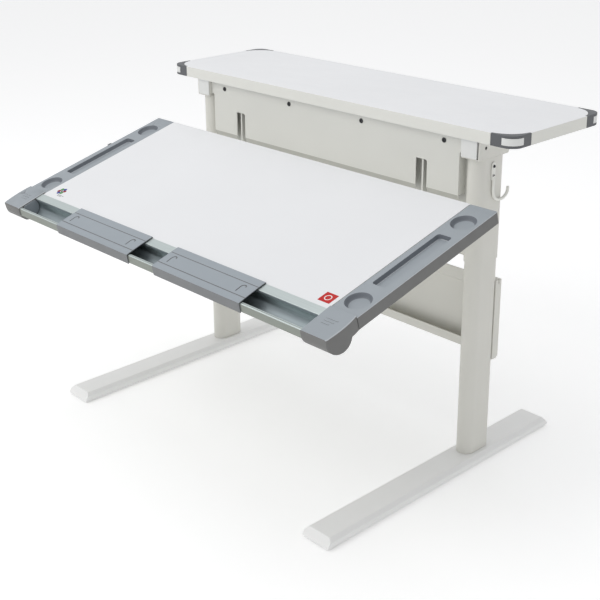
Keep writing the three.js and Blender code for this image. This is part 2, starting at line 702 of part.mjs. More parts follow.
// The origin is on the floor, under the middle of the whole desk.
desk.updateMatrixWorld(true);
const centre = new THREE.Box3().setFromObject(desk, true).getCenter(new THREE.Vector3());
desk.position.y = -centre.y;

export default desk;
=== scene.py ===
"""A height-adjustable drawing desk with a tilting board: its looks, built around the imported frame."""

import json
import math

import bmesh
import bpy
from mathutils import Matrix, Vector

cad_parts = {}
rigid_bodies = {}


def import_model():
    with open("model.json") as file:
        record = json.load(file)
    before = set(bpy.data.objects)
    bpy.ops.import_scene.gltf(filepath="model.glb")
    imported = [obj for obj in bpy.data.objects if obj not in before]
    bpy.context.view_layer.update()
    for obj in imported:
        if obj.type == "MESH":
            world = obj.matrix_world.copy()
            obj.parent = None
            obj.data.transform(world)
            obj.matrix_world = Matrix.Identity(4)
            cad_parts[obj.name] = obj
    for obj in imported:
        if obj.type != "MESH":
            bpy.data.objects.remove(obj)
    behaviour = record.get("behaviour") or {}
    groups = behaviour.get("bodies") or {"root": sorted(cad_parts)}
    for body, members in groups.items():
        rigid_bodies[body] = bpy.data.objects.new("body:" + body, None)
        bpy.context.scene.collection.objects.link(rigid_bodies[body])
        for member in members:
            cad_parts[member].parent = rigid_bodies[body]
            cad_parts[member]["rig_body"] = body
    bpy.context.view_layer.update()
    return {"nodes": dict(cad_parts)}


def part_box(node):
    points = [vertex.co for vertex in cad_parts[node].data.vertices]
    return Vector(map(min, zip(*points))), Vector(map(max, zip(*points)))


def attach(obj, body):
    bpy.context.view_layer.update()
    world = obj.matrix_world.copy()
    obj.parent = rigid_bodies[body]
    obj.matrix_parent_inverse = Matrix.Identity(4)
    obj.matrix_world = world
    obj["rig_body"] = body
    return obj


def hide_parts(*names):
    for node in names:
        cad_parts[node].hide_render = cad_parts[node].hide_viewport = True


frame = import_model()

MM = 0.001
TILT = math.radians(14.9)
BOARD_FRONT, BOARD_REAR = -4.0, 395.5  # the drawing board's edges along the slope
NOSE_ANGLE, NOSE_LIFT = math.radians(3.4), 3.5  # the tray and caps slope more, from just above the board
LENS, SENSOR = 68.028, 36  # the camera's focal length and its sensor's width, from the camera fit
SHARP = 34  # edges that bend more than this many degrees stay sharp
TROUGH_CENTRE, TROUGH_RADIUS = (-44.0, -17.0), 21.0  # the tray's round trough, in the nose's frame
COVER_REAR, COVER_FRONT, COVER_CROWN = -3.0, -73.7, 0.8  # a tray cover's edges and how far it arches
PANEL_BEND = 599.5 * MM  # height of the fold along the back panel's lower edge


def middle(node):
    low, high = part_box(node)
    return (low + high) / 2


# Local frames, drawn in millimetres: the board's, with x across, y up the slope and z off the face, and
# the nose's, within the board's. COLUMN_Y is the columns' centre plane.
COLUMN_Y = middle("lower_column_right").y
board_low, board_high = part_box("drawing_board")
SCALE = Matrix.Scale(MM, 4)
BOARD_ORIGIN = Vector((
    0,
    board_low.y - BOARD_FRONT * MM * math.cos(TILT),
    board_high.z - BOARD_REAR * MM * math.sin(TILT),
))
BOARD = Matrix.Translation(BOARD_ORIGIN) @ Matrix.Rotation(TILT, 4, "X") @ SCALE
NOSE = Matrix.Translation((0, 0, NOSE_LIFT)) @ Matrix.Rotation(NOSE_ANGLE, 4, "X")
BOARD_UP = BOARD.to_3x3() @ Vector((0, 0, 1 / MM))


# ---------------------------------------------------------------- camera, floor and light


def aim(location, azimuth, elevation, roll):
    """A camera matrix that looks from location along azimuth and elevation, in degrees."""
    a, e, r = map(math.radians, (azimuth, elevation, roll))
    right = Vector((math.cos(a), math.sin(a), 0))
    back = Vector((math.sin(a) * math.cos(e), -math.cos(a) * math.cos(e), math.sin(e)))
    up = back.cross(right)
    turned_right = math.cos(r) * right + math.sin(r) * up
    turned_up = math.cos(r) * up - math.sin(r) * right
    matrix = Matrix((turned_right, turned_up, back)).transposed().to_4x4()
    return Matrix.Translation(location) @ matrix


def make_camera():
    data = bpy.data.cameras.new("camera")
    camera = bpy.data.objects.new("camera", data)
    bpy.context.scene.collection.objects.link(camera)
    bpy.context.scene.camera = camera
    data.sensor_width = SENSOR
    data.lens = LENS
    data.shift_x = 0.0303
    data.shift_y = -0.1095
    camera.matrix_world = aim((1.7508, COLUMN_Y - 1.7695, 1.2938), 47.665, 19.533, -0.771)


def area_light(name, location, target, size, power, colour=(1, 1, 1)):
    data = bpy.data.lights.new(name, "AREA")
    data.shape = "RECTANGLE"
    data.size, data.size_y = size
    data.energy = power
    data.color = colour
    lamp = bpy.data.objects.new(name, data)
    bpy.context.scene.collection.objects.link(lamp)
    lamp.location = location
    lamp.rotation_euler = (Vector(target) - Vector(location)).to_track_quat("-Z", "Y").to_euler()


def make_studio():
    """A pale floor, two soft lights, and a sky that gets dimmer towards the right."""
    world = bpy.data.worlds.new("studio")
    bpy.context.scene.world = world
    world.use_nodes = True
    background = world.node_tree.nodes["Background"]
    background.inputs["Color"].default_value = (0.985, 0.99, 1.0, 1)
    tree = world.node_tree
    direction = tree.nodes.new("ShaderNodeTexCoord")
    split = tree.nodes.new("ShaderNodeSeparateXYZ")
    dimming = tree.nodes.new("ShaderNodeMapRange")
    for key, number in (("From Min", -1), ("From Max", 1), ("To Min", 0.88), ("To Max", 0.54)):
        dimming.inputs[key].default_value = number
    tree.links.new(direction.outputs["Generated"], split.inputs["Vector"])
    tree.links.new(split.outputs["X"], dimming.inputs["Value"])
    tree.links.new(dimming.outputs["Result"], background.inputs["Strength"])
    bpy.context.scene.view_settings.view_transform = "Standard"
    area_light("key", (-1.2, -2.8, 3.2), (0, 0, 0.5), (2.4, 2.0), 38, (1.0, 0.99, 0.97))
    area_light("top", (0.0, 0.2, 3.6), (0, 0, 0.6), (3.0, 3.0), 16)

    mesh = bpy.data.meshes.new("floor")
    half = 14
    corners = [(-half, -half, 0), (half, -half, 0), (half, half, 0), (-half, half, 0)]
    mesh.from_pydata(corners, [], [(0, 1, 2, 3)])
    floor = bpy.data.objects.new("floor", mesh)
    bpy.context.scene.collection.objects.link(floor)
    floor.location.z = -0.0005
    material = bpy.data.materials.new("studio_floor")
    material.use_nodes = True
    shader = material.node_tree.nodes["Principled BSDF"]
    shader.inputs["Base Color"].default_value = (0.95, 0.95, 0.95, 1)
    shader.inputs["Roughness"].default_value = 0.9
    shader.inputs["Specular IOR Level"].default_value = 0.2
    shader.inputs["Emission Color"].default_value = (1, 1, 1, 1)
    shader.inputs["Emission Strength"].default_value = 0.21
    mesh.materials.append(material)


# ---------------------------------------------------------------- materials


def linear(value):
    return value / 12.92 if value <= 0.04045 else ((value + 0.055) / 1.055) ** 2.4


def colour_of(red, green, blue):
    """A colour given in 0 to 255, as the shader's linear colour."""
    return tuple(linear(v / 255) for v in (red, green, blue)) + (1,)


def shade(colour, factor):
    return tuple(min(1.0, c * factor) for c in colour[:3]) + (1,)


class Nodes:
    """A short way to add and link nodes in one material."""

    def __init__(self, name):
        self.material = bpy.data.materials.new(name)
        self.material.use_nodes = True
        self.tree = self.material.node_tree
        self.shader = self.tree.nodes["Principled BSDF"]
        coordinates = self.tree.nodes.new("ShaderNodeTexCoord")
        self.place = coordinates.outputs["Object"]

    def add(self, kind, **settings):
        node = self.tree.nodes.new(kind)
        for key, value in settings.items():
            setattr(node, key, value)
        return node

    def link(self, source, target):
        self.tree.links.new(source, target)

    def stretched(self, scale):
        """The place of a point, scaled along each axis."""
        mapping = self.add("ShaderNodeMapping")
        mapping.inputs["Scale"].default_value = scale
        self.link(self.place, mapping.inputs["Vector"])
        return mapping.outputs["Vector"]

    def noise(self, scale, detail=3.0, vector=None, roughness=0.5):
        node = self.add("ShaderNodeTexNoise")
        node.inputs["Scale"].default_value = scale
        node.inputs["Detail"].default_value = detail
        node.inputs["Roughness"].default_value = roughness
        self.link(vector or self.place, node.inputs["Vector"])
        return node.outputs["Fac"]

    def remap(self, value, low, high, to_low=0.0, to_high=1.0):
        node = self.add("ShaderNodeMapRange")
        for key, number in (("From Min", low), ("From Max", high), ("To Min", to_low), ("To Max", to_high)):
            node.inputs[key].default_value = number
        self.link(value, node.inputs["Value"])
        return node.outputs["Result"]

    def mix(self, factor, first, second):
        """A colour mixed from two: each is a colour or a socket."""
        node = self.add("ShaderNodeMix", data_type="RGBA")
        self.link(factor, node.inputs["Factor"])
        for socket, value in ((node.inputs[6], first), (node.inputs[7], second)):
            if isinstance(value, tuple):
                socket.default_value = value
            else:
                self.link(value, socket)
        return node.outputs[2]

    def math(self, operation, first, second):
        node = self.add("ShaderNodeMath", operation=operation)
        for socket, value in zip(node.inputs, (first, second)):
            if isinstance(value, (int, float)):
                socket.default_value = value
            else:
                self.link(value, socket)
        return node.outputs["Value"]

    def edges(self, radius):
        """Near 1 on edges and corners and 0 on flat faces."""
        bevel = self.add("ShaderNodeBevel", samples=4)
        bevel.inputs["Radius"].default_value = radius
        geometry = self.add("ShaderNodeNewGeometry")
        dot = self.add("ShaderNodeVectorMath", operation="DOT_PRODUCT")
        self.link(bevel.outputs["Normal"], dot.inputs[0])
        self.link(geometry.outputs["Normal"], dot.inputs[1])
        return self.remap(dot.outputs["Value"], 0.995, 0.80)

    def bump(self, height, strength, distance):
        node = self.add("ShaderNodeBump")
        node.inputs["Strength"].default_value = strength
        node.inputs["Distance"].default_value = distance
        self.link(height, node.inputs["Height"])
        self.link(node.outputs["Normal"], self.shader.inputs["Normal"])


def coating(name, colour, roughness, metallic=0.0, grain=900, depth=0.00006, wear=0.35, mottle=0.03):
    """Painted or moulded surface: fine grain, slight mottling, and edges a little worn."""
    nodes = Nodes(name)
    shader = nodes.shader
    shader.inputs["Metallic"].default_value = metallic
    patches = nodes.remap(nodes.noise(7.0, 4.0), 0.3, 0.7)
    body = nodes.mix(patches, shade(colour, 1 - mottle), shade(colour, 1 + mottle))
    scuffs = nodes.remap(nodes.noise(160.0, 6.0, roughness=0.7), 0.45, 0.7)
    worn = nodes.math("MULTIPLY", nodes.edges(0.0014), nodes.remap(scuffs, 0, 1, 0.35 * wear, wear))
    nodes.link(nodes.mix(worn, body, shade(colour, 1.28)), shader.inputs["Base Color"])
    fine = nodes.noise(grain, 2.0)
    rough = nodes.remap(nodes.noise(38.0, 4.0), 0.3, 0.7, roughness - 0.05, roughness + 0.06)
    nodes.link(nodes.math("ADD", rough, nodes.math("MULTIPLY", worn, -0.1)), shader.inputs["Roughness"])
    nodes.bump(fine, 0.35, depth)
    return nodes.material


def laminate(name, colour, roughness):
    """White melamine face: an almost even white with a fine pearl texture and faint hand marks."""
    nodes = Nodes(name)
    shader = nodes.shader
    patches = nodes.remap(nodes.noise(3.0, 5.0), 0.35, 0.65)
    body = nodes.mix(patches, shade(colour, 0.985), shade(colour, 1.01))
    nodes.link(body, shader.inputs["Base Color"])
    marks = nodes.noise(14.0, 5.0, nodes.stretched((1.0, 2.2, 1.0)), 0.62)
    nodes.link(nodes.remap(marks, 0.35, 0.7, roughness - 0.05, roughness + 0.09), shader.inputs["Roughness"])
    pearl = nodes.math("ADD", nodes.noise(620.0, 2.0), nodes.math("MULTIPLY", nodes.noise(140.0, 2.0), 0.6))
    nodes.bump(pearl, 0.22, 0.00005)
    return nodes.material


def brushed(name, colour, roughness, along=(1.5, 140.0, 140.0), tint=0.06, metallic=1.0):
    """Metal with fine lines drawn along one axis."""
    nodes = Nodes(name)
    shader = nodes.shader
    shader.inputs["Metallic"].default_value = metallic
    lines = nodes.noise(6.0, 6.0, nodes.stretched(along), 0.6)
    spread = nodes.remap(lines, 0.3, 0.7)
    tinted = nodes.mix(spread, shade(colour, 1 - tint), shade(colour, 1 + tint))
    nodes.link(tinted, shader.inputs["Base Color"])
    patches = nodes.remap(nodes.noise(11.0, 4.0), 0.3, 0.7, -0.03, 0.05)
    rough = nodes.remap(lines, 0.3, 0.7, roughness - 0.05, roughness + 0.08)
    nodes.link(nodes.math("ADD", rough, patches), shader.inputs["Roughness"])
    nodes.bump(lines, 0.18, 0.00004)
    return nodes.material


def make_materials():
    return {
        "foot": coating("foot_coat", colour_of(238, 238, 237), 0.42, 0.0, 1100, 0.00005, 0.25, 0.015),
        "frame": coating("frame_coat", colour_of(214, 213, 206), 0.42, 0.0, 1100, 0.00005, 0.25, 0.015),
        "panel": coating("panel_coat", colour_of(214, 214, 208), 0.46, 0.0, 1100, 0.00005, 0.25, 0.015),
        # painted shade: a darker copy of the panel's paint, for the folded lip
        "panel_painted_shade": coating("panel_painted_shade", colour_of(176, 176, 168), 0.46, 0.0, 1100, 0.00005, 0.2, 0.015),
        "laminate": laminate("white_laminate", colour_of(232, 233, 235), 0.36),
        "edge_band": coating("edge_band", colour_of(222, 222, 216), 0.42, 0.0, 500, 0.00004, 0.15, 0.01),
        "moulding": coating("grey_moulding", colour_of(154, 161, 167), 0.5, 0.0, 1500, 0.00009, 0.3, 0.025),
        # painted shade: a darker copy of the grey moulding for faces that look sideways
        "moulding_painted_shade": coating(
            "grey_moulding_painted_shade", colour_of(110, 110, 109), 0.55, 0.0, 1500, 0.00009, 0.3, 0.025
        ),
        # painted shade for the walls of the cups and of the pen recess
        "recess": coating("recess_painted_shade", colour_of(116, 121, 128), 0.5, 0.0, 1500, 0.00009, 0.2, 0.025),
        # painted highlight: a lighter copy of the grey moulding for its rounded top edges
        "moulding_painted_highlight": coating(
            "grey_moulding_painted_highlight", colour_of(184, 189, 193), 0.45, 0.0, 1500, 0.00007, 0.3, 0.02
        ),
        "cover": coating("cover_moulding", colour_of(152, 160, 167), 0.46, 0.0, 1500, 0.00007, 0.3, 0.02),
        # painted shade: a darker copy of the cover moulding for its sides, grooves and thumb marks
        "cover_painted_shade": coating("cover_painted_shade", colour_of(116, 118, 120), 0.5, 0.0, 1500, 0.00007, 0.3, 0.02),
        "guard": coating("guard_moulding", colour_of(92, 94, 97), 0.5, 0.0, 1300, 0.00009, 0.35, 0.03),
        "insert": coating("insert_moulding", colour_of(222, 223, 221), 0.45, 0.0, 1300, 0.00005, 0.15, 0.01),
        "hook": coating("hook_coat", colour_of(230, 230, 224), 0.4, 0.0, 1100, 0.00005, 0.25, 0.015),
        "aluminium": brushed("tray_aluminium", colour_of(202, 211, 210), 0.34),
        # painted shade: darker, less metallic copies of the tray's aluminium for its trough and its front
        # face
        "trough": brushed("tray_trough_painted_shade", colour_of(164, 174, 178), 0.46, metallic=0.45),
        "tray_face_painted_shade": brushed("tray_face_painted_shade", colour_of(140, 145, 138), 0.5, metallic=0.3),
        "steel": brushed("bright_steel", colour_of(176, 178, 180), 0.36, (120.0, 4.0, 120.0)),
        "black": coating("black_plastic", colour_of(42, 43, 46), 0.55, 0.0, 1300, 0.00008, 0.3, 0.04),
        "cylinder": coating("black_paint", colour_of(30, 31, 34), 0.35, 0.0, 900, 0.00004, 0.4, 0.03),
        "red": coating("red_label", colour_of(190, 16, 8), 0.6, 0.0, 900, 0.00003, 0.1, 0.02),
        "white_ink": coating("white_ink", colour_of(238, 238, 236), 0.45, 0.0, 900, 0.00003, 0.1, 0.01),
        "blue_ink": coating("blue_ink", colour_of(30, 52, 150), 0.45, 0.0, 900, 0.00003, 0.1, 0.02),
        "green_ink": coating("green_ink", colour_of(60, 140, 60), 0.45, 0.0, 900, 0.00003, 0.1, 0.02),
        "maroon_ink": coating("maroon_ink", colour_of(140, 14, 26), 0.45, 0.0, 900, 0.00003, 0.1, 0.02),
    }


# ---------------------------------------------------------------- mesh tools


def arc(cx, cy, radius, start, end, steps=16):
    """Points on an arc, with angles in degrees."""
    points = []
    for i in range(steps + 1):
        t = math.radians(start + (end - start) * i / steps)
        points.append((cx + radius * math.cos(t), cy + radius * math.sin(t)))
    return points


def curve(start, control, end, steps=16):
    """Points on a quadratic curve, without its start."""
    points = []
    for i in range(1, steps + 1):
        t = i / steps
        terms = list(zip(((1 - t) ** 2, 2 * t * (1 - t), t * t), (start, control, end)))
        points.append(tuple(sum(weight * point[axis] for weight, point in terms) for axis in (0, 1)))
    return points


def rounded(u0, v0, u1, v1, radius, steps=8):
    return (
        arc(u1 - radius, v0 + radius, radius, -90, 0, steps)
        + arc(u1 - radius, v1 - radius, radius, 0, 90, steps)
        + arc(u0 + radius, v1 - radius, radius, 90, 180, steps)
        + arc(u0 + radius, v0 + radius, radius, 180, 270, steps)
    )


AXES = {
    "x": lambda u, v, w: (w, u, v),
    "y": lambda u, v, w: (u, w, v),
    "z": lambda u, v, w: (u, v, w),
}


def new_object(name, bm):
    bmesh.ops.recalc_face_normals(bm, faces=bm.faces)
    mesh = bpy.data.meshes.new(name)
    bm.to_mesh(mesh)
    bm.free()
    made = bpy.data.objects.new(name, mesh)
    bpy.context.scene.collection.objects.link(made)
    return made


def loft(name, sections):
    """A closed skin through rings of points, each ring with the same number of points."""
    bm = bmesh.new()
    rings = [[bm.verts.new(p) for p in ring] for ring in sections]
    count = len(rings[0])
    for first, second in zip(rings, rings[1:]):
        for i in range(count):
            j = (i + 1) % count
            bm.faces.new((first[i], first[j], second[j], second[i]))
    bm.faces.new(rings[0])
    bm.faces.new(rings[-1])
    return new_object(name, bm)


def prism(name, outline, axis, low, high):
    """An outline run along an axis: it's drawn in (y, z) for x, (x, z) for y and (x, y) for z."""
    turn = AXES[axis]
    return loft(name, [[turn(u, v, w) for u, v in outline] for w in (low, high)])


def apply_modifiers(piece):
    """Replaces the piece's mesh by what its modifiers make of it."""
    graph = bpy.context.evaluated_depsgraph_get()
    made = bpy.data.meshes.new_from_object(piece.evaluated_get(graph))
    old = piece.data
    piece.modifiers.clear()
    piece.data = made
    bpy.data.meshes.remove(old)


def combine(piece, others, operation):
    """Cuts others out of a piece, or keeps or joins them, and removes them."""
    for other in others:
        modifier = piece.modifiers.new("combine", "BOOLEAN")
        modifier.object = other
        modifier.operation = operation
        modifier.solver = "EXACT"
        bpy.context.view_layer.update()
        apply_modifiers(piece)
        bpy.data.objects.remove(other)
    tidy_mesh(piece)
    return piece


def tidy_mesh(piece):
    """Merges what booleans leave doubled, and joins coplanar faces."""
    bm = bmesh.new()
    bm.from_mesh(piece.data)
    bmesh.ops.remove_doubles(bm, verts=bm.verts, dist=1e-5)
    bmesh.ops.dissolve_limit(bm, angle_limit=math.radians(0.6), verts=bm.verts, edges=bm.edges)
    bm.to_mesh(piece.data)
    bm.free()


def soften(piece, width, segments=3, angle=SHARP):
    """Rounds the sharp edges for real, and shades the rest smooth."""
    if width:
        bevel = piece.modifiers.new("edges", "BEVEL")
        bevel.width = width
        bevel.segments = segments
        bevel.limit_method = "ANGLE"
        bevel.angle_limit = math.radians(angle)
        bevel.harden_normals = False
        bevel.use_clamp_overlap = True
        bpy.context.view_layer.update()
        apply_modifiers(piece)
    for polygon in piece.data.polygons:
        polygon.use_smooth = True
    piece.data.set_sharp_from_angle(angle=math.radians(angle))
    weighted = piece.modifiers.new("normals", "WEIGHTED_NORMAL")
    weighted.keep_sharp = True
    bpy.context.view_layer.update()
    apply_modifiers(piece)


def place(piece, matrix):
    piece.data.transform(matrix)
    if matrix.determinant() < 0:
        piece.data.flip_normals()
    piece.data.update()


def settle(piece, body, material, nodes=()):
    """Gives a piece its material, and lets it ride on its body in place of its CAD nodes."""
    piece.data.materials.clear()
    piece.data.materials.append(materials[material])
    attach(piece, body)
    if nodes:
        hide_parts(*nodes)
    return piece


def darken_sides(piece, material, up, limit=0.55, edge=None):
    """Gives the faces that look away from up a second, darker material, and the rounded edges a third: the
    board's real edge band, and on the mouldings and covers painted shade on the sides and a painted highlight
    on the edges.
    """
    piece.data.materials.append(materials[material])
    piece.data.materials.append(materials[edge or material])
    for polygon in piece.data.polygons:
        lean = polygon.normal.dot(up)
        if lean < limit:
            polygon.material_index = 1
        elif edge and lean < 0.93:
            polygon.material_index = 2


def mirrored(piece, name):
    """A left-hand copy of a piece that is still in its local frame."""
    mesh = piece.data.copy()
    mesh.transform(Matrix.Scale(-1, 4, (1, 0, 0)))
    mesh.flip_normals()
    made = bpy.data.objects.new(name, mesh)
    bpy.context.scene.collection.objects.link(made)
    return made


def refine(node, material, width, segments=3):
    """A finer copy of a CAD node: coplanar facets joined, edges rounded, and shaded smooth."""
    source = frame["nodes"][node]
    bm = bmesh.new()
    bm.from_mesh(source.data)
    bmesh.ops.remove_doubles(bm, verts=bm.verts, dist=2e-6)
    bmesh.ops.dissolve_limit(bm, angle_limit=math.radians(0.4), verts=bm.verts, edges=bm.edges)
    piece = new_object(f"{node}_piece", bm)
    soften(piece, width, segments)
    return settle(piece, source["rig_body"], material, [node])


# ---------------------------------------------------------------- base and upper frame

# CAD nodes that are copied more finely: their finish, their slot and the width of their rounded edges.
REFINED = [
    (("foot_left", "foot_right"), "foot", "frame_paint", 0.9),
    (("lower_column_left", "lower_column_right"), "frame", "frame_paint", 0.4),
    (("cross_panel",), "frame", "panel_paint", 0.5),
    (("cross_bracket_left", "cross_bracket_right"), "frame", "panel_paint", 0.9),
    (("upper_sleeve_left", "upper_sleeve_right"), "frame", "frame_paint", 0.5),
    (("shelf_arm_left", "shelf_arm_right"), "frame", "frame_paint", 0.8),
    (("arm_cap_left", "arm_cap_right"), "insert", "pale_insert", 1.4),
    (("back_panel",), "panel", "panel_paint", 0.6),
    (("rear_cover",), "panel", "panel_paint", 0.5),
    (("crossbar",), "frame", "frame_paint", 0.5),
    (("support_arm_left", "support_arm_right"), "panel", "bright_steel", 0.6),
    (("tilt_lever",), "guard", "dark_guard", 0.8),
]
# CAD nodes that keep their shape, by the start of their names, and their finish.
CARRIED = {
    "glide": "black",
    "column_guide": "black",
    "lift_cylinder": "cylinder",
    "lift_rod": "steel",
    "hinge": "steel",
    "prop": "steel",
}
CORNERS = ("front_left", "front_right", "rear_left", "rear_right")


def paint_lip_shade(panel):
    """The folded lip along the panel's lower edge gets a darker copy of the panel's paint: painted shade
    where the lip leans away from the light.
    """
    panel.data.materials.append(materials["panel_painted_shade"])
    for polygon in panel.data.polygons:
        if polygon.center.z < PANEL_BEND:
            polygon.material_index = 1


def make_plain_parts():
    """The sheet, tube and bracket parts, and a finish for the CAD nodes that are carried over."""
    for nodes, material, slot, width in REFINED:
        for node in nodes:
            piece = refine(node, material, width * MM)
            # paints shade on the back panel's folded lip
            if node == "back_panel":
                paint_lip_shade(piece)
    for node, source in frame["nodes"].items():
        for prefix, material in CARRIED.items():
            if node.startswith(prefix):
                source.data.materials.clear()
                source.data.materials.append(materials[material])
                for polygon in source.data.polygons:
                    polygon.use_smooth = True
                source.data.set_sharp_from_angle(angle=math.radians(SHARP))


def turn_angles(steps):
    return [2 * math.pi * i / steps for i in range(steps)]


def screw_head(name, radius, recess):
    """A low domed head with a cross recess, its top towards -Y, its seat at the origin."""
    profile = [(radius, 0.0), (radius, 0.7), (radius * 0.86, 1.7), (radius * 0.55, 2.3), (0.4, 2.5)]
    steps = 28
    sections = []
    for r, h in profile:
        sections.append([(r * math.cos(t), -h, r * math.sin(t)) for t in turn_angles(steps)])
    head = loft(name, sections)
    cutters = []
    for width, height in ((recess, recess * 0.3), (recess * 0.3, recess)):
        bar = rounded(-width / 2, -height / 2, width / 2, height / 2, recess * 0.1, 3)
        cutters.append(prism("recess", bar, "y", -4, -1.0))
    combine(head, cutters, "DIFFERENCE")
    return head


def make_screws():
    """Screws of the back panel, of the shelf arms and of the bag hook."""
    for index in range(1, 5):
        node = f"panel_screw_{index}"
        low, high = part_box(node)
        head = screw_head(f"{node}_piece", 5.3, 5.2)
        shank = prism("shank", arc(0, 0, 2.8, 0, 360, 20)[:-1], "y", -0.2, 9.5)
        combine(head, [shank], "UNION")
        soften(head, 0.15, 2)
        seat = Matrix.Translation(((low.x + high.x) / 2, low.y + 2.6 * MM, (low.z + high.z) / 2))
        place(head, seat @ SCALE)
        settle(head, "upper_frame", "black", [node])
    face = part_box("upper_sleeve_right")[1].x
    arm_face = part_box("shelf_arm_right")[1].x
    spots = [
        ("arm_screw_right", arm_face - 2.7 * MM, COLUMN_Y - 28.6 * MM, 0.706, 3.3, 1),
        ("arm_screw_left", -arm_face + 2.7 * MM, COLUMN_Y - 28.6 * MM, 0.706, 3.3, -1),
        ("hook_screw_upper", face + 3.3 * MM, COLUMN_Y - 3.3 * MM, 0.6647, 3.2, 1),
        ("hook_screw_lower", face + 3.3 * MM, COLUMN_Y - 3.3 * MM, 0.6445, 3.2, 1),
    ]
    for name, x, y, z, radius, side in spots:
        head = screw_head(name, radius, radius)
        soften(head, 0.12, 2)
        turn = Matrix.Rotation(math.radians(90 * side), 4, "Z")
        place(head, Matrix.Translation((x, y, z)) @ turn @ SCALE)
        settle(head, "upper_frame", "black")


def tube(name, points, radius, sides=20):
    """A round bar swept along a smooth path through the points."""
    route = bpy.data.curves.new(name, "CURVE")
    route.dimensions = "3D"
    route.bevel_depth = radius
    route.bevel_resolution = sides // 4
    route.use_fill_caps = True
    route.resolution_u = 10
    spline = route.splines.new("BEZIER")
    spline.bezier_points.add(len(points) - 1)
    for knot, spot in zip(spline.bezier_points, points):
        knot.co = spot
        knot.handle_left_type = knot.handle_right_type = "AUTO"
    holder = bpy.data.objects.new(name, route)
    bpy.context.scene.collection.objects.link(holder)
    bpy.context.view_layer.update()
    graph = bpy.context.evaluated_depsgraph_get()
    mesh = bpy.data.meshes.new_from_object(holder.evaluated_get(graph))
    bpy.data.objects.remove(holder)
    made = bpy.data.objects.new(name, mesh)
    bpy.context.scene.collection.objects.link(made)
    return made


def make_hook():
    """Bag hook: a flat plate that narrows into a bent round rod with a rounded tip."""
    low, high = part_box("bag_hook")
    y = -3.3
    plate = prism("bag_hook_piece", rounded(y - 5.5, 635, y + 5.5, 673, 5.2, 10), "x", 0, 3)
    path = [(3, y, 646), (3, y, 630), (3, y, 613), (3, 0.1, 602.2), (3, 9.4, 594.2), (3, 22, 591.3)]
    path += [(3, 34.7, 594.2), (3, 43.9, 602.2), (3, 45.4, 611.0)]
    rod = tube("rod", path, 3.2)
    tip = bpy.data.meshes.new("tip")
    bm = bmesh.new()
    bmesh.ops.create_uvsphere(bm, u_segments=20, v_segments=12, radius=3.2)
    bm.to_mesh(tip)
    bm.free()
    ball = bpy.data.objects.new("tip", tip)
    bpy.context.scene.collection.objects.link(ball)
    tip.transform(Matrix.Translation(path[-1]))
    soften(plate, 0.8, 3)
    combine(plate, [rod, ball], "UNION")
    soften(plate, 0.0)
    place(plate, Matrix.Translation((low.x, COLUMN_Y, 0)) @ SCALE)
    settle(plate, "upper_frame", "hook", ["bag_hook"])


def make_shelf():
    """The shelf has white faces, and a warm edge band round its sides."""
    piece = refine("shelf_board", "laminate", 0.7 * MM)
    piece.data.materials.append(materials["edge_band"])
    for polygon in piece.data.polygons:
        if abs(polygon.normal.z) < 0.5:
            polygon.material_index = 1
    for corner in CORNERS:
        refine(f"corner_guard_{corner}", "guard", 1.1 * MM, 4)
        refine(f"corner_insert_{corner}", "insert", 0.35 * MM)


# ---------------------------------------------------------------- the tilting board


def make_board():
    """The white panel: crisp laminate edges, with an edge band all round."""
    piece = prism("drawing_board_piece", rounded(-465, BOARD_FRONT, 465, BOARD_REAR, 2), "z", -18, 0)
    soften(piece, 0.6)
    place(piece, BOARD)
    settle(piece, "board", "laminate", ["drawing_board"])
    darken_sides(piece, "edge_band", BOARD_UP, 0.5)


def cup_cutter(x, s, radius, depth):
    """A round recess with tapered walls and a rounded floor."""
    steps = 56
    profile = [(radius - 8.5, -depth), (radius - 6.0, -depth + 0.5), (radius - 4.2, -depth + 1.8)]
    profile += [(radius - 2.6, -4.6), (radius - 1.0, -1.4), (radius, -0.2), (radius + 0.6, 1.0)]
    rings = [[(x + r * math.cos(t), s + r * math.sin(t), n) for t in turn_angles(steps)] for r, n in profile]
    return loft("cup", rings)


def recess_cutter(inner, front, outer, rear, corner, depth):
    """A long recess whose walls lean outwards, with a rounded floor."""
    profile = [(3.2, -depth), (2.0, -depth + 0.5), (1.3, -depth + 1.8), (0.4, -1.2), (0, -0.2), (-0.6, 1.0)]
    rings = []
    for step, n in profile:
        outline = rounded(inner + step, front + step, outer - step, rear - step, corner - step * 0.5, 8)
        rings.append([(u, v, n) for u, v in outline])
    return loft("recess", rings)


def paint_recess_shade(rail):
    """Paints shade on the walls of the cups and of the pen recess: they get a darker material than the rail's
    top.
    """
    rail.data.materials.append(materials["recess"])  # after the top's finish, the sides' painted shade and the edges' painted highlight
    inward = BOARD.inverted()
    for polygon in rail.data.polygons:
        spot = inward @ polygon.center
        within = 470 < abs(spot.x) < 524 and 14 < spot.y < 362 and spot.z > -9.5
        if within and polygon.normal.dot(BOARD_UP) < 0.9:
            polygon.material_index = 3


